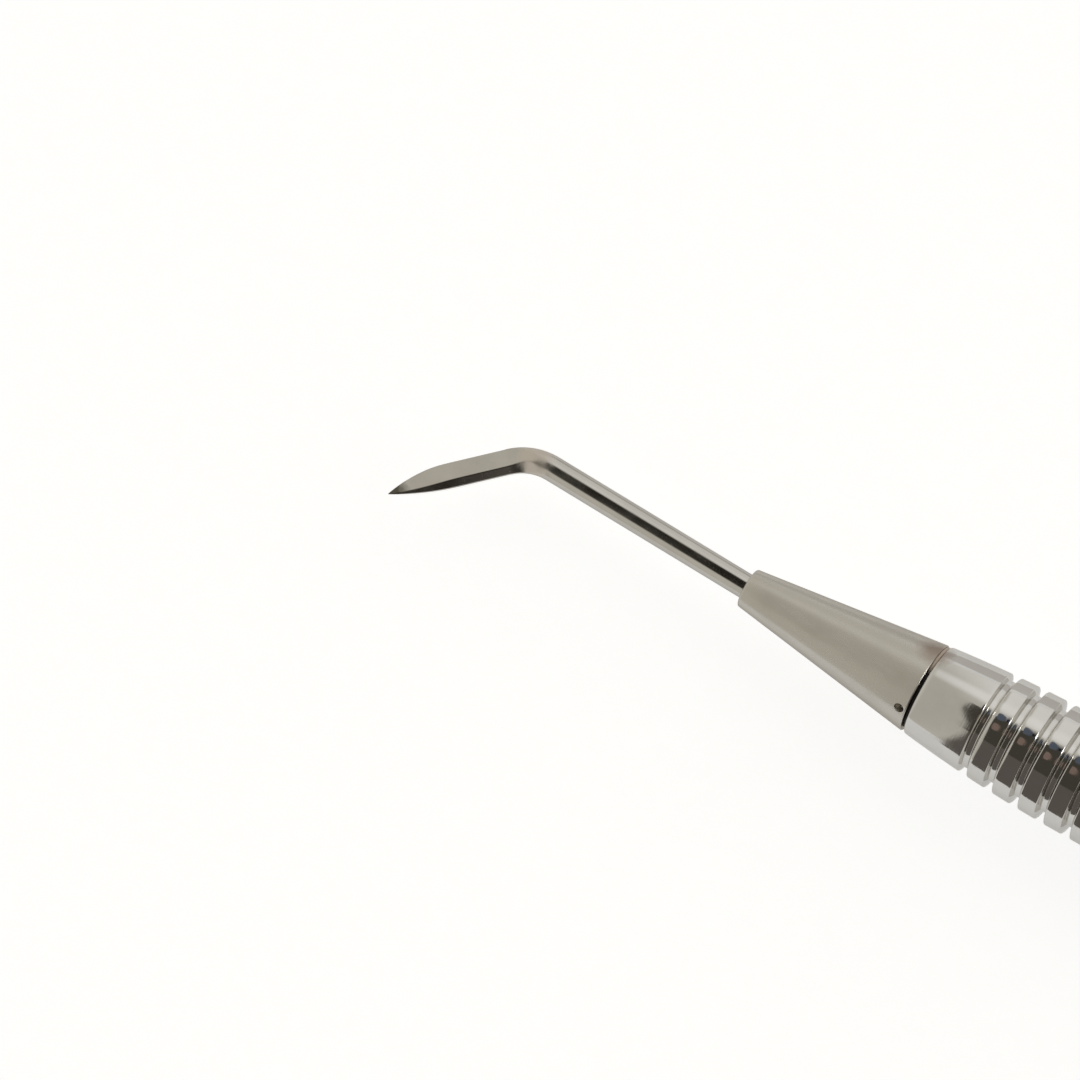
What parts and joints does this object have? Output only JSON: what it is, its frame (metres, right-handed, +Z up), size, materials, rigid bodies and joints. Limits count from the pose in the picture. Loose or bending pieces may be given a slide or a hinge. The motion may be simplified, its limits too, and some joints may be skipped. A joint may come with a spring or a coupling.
{
  "type": "hand scaler",
  "caption": "Double-ended dental hand scaler: slim ribbed steel handle with a tapered cone, bent shank and pointed blade screwed into each end.",
  "frame": {"origin": "middle of the handle, on its axis, which is the middle of the whole instrument", "axes": "+X along the handle towards end B, +Z up with both bends lying flat in the XY plane, so blade A points towards -X and -Y and blade B towards +X and +Y"},
  "size_m": [0.1706, 0.0154, 0.0094],
  "materials": {
    "handle_steel": "polished, fine turning marks",
    "insert_steel": "plain machined",
    "seal_rubber": "matt",
    "cone_steel": "satin polished",
    "blade_steel": "polished, ground facets"
  },
  "bodies": {
    "handle": {"handle_tube": "handle_steel", "threaded_insert_a": "insert_steel", "threaded_insert_b": "insert_steel"},
    "seal_a": {"seal_washer_a": "seal_rubber"},
    "end_a": {"cone_a": "cone_steel", "working_end_a": "blade_steel"},
    "seal_b": {"seal_washer_b": "seal_rubber"},
    "end_b": {"cone_b": "cone_steel", "working_end_b": "blade_steel"}
  },
  "joints": [
    {"name": "travel_a", "type": "slide", "parent": "handle", "child": "seal_a", "axis": [-1, 0, 0], "range_m": [0, 0.0056]},
    {"name": "unscrew_a", "type": "hinge", "parent": "seal_a", "child": "end_a", "pos_m": [-0.0394, 0, 0], "axis": [-1, 0, 0], "range_deg": [0, 2880]},
    {"name": "travel_b", "type": "slide", "parent": "handle", "child": "seal_b", "axis": [1, 0, 0], "range_m": [0, 0.0056]},
    {"name": "unscrew_b", "type": "hinge", "parent": "seal_b", "child": "end_b", "pos_m": [0.0394, 0, 0], "axis": [1, 0, 0], "range_deg": [0, 2880]}
  ],
  "couplings": [
    {"joint": "unscrew_a", "follows": "travel_a", "rad_per_m": 8976},
    {"joint": "unscrew_b", "follows": "travel_b", "rad_per_m": 8976}
  ]
}
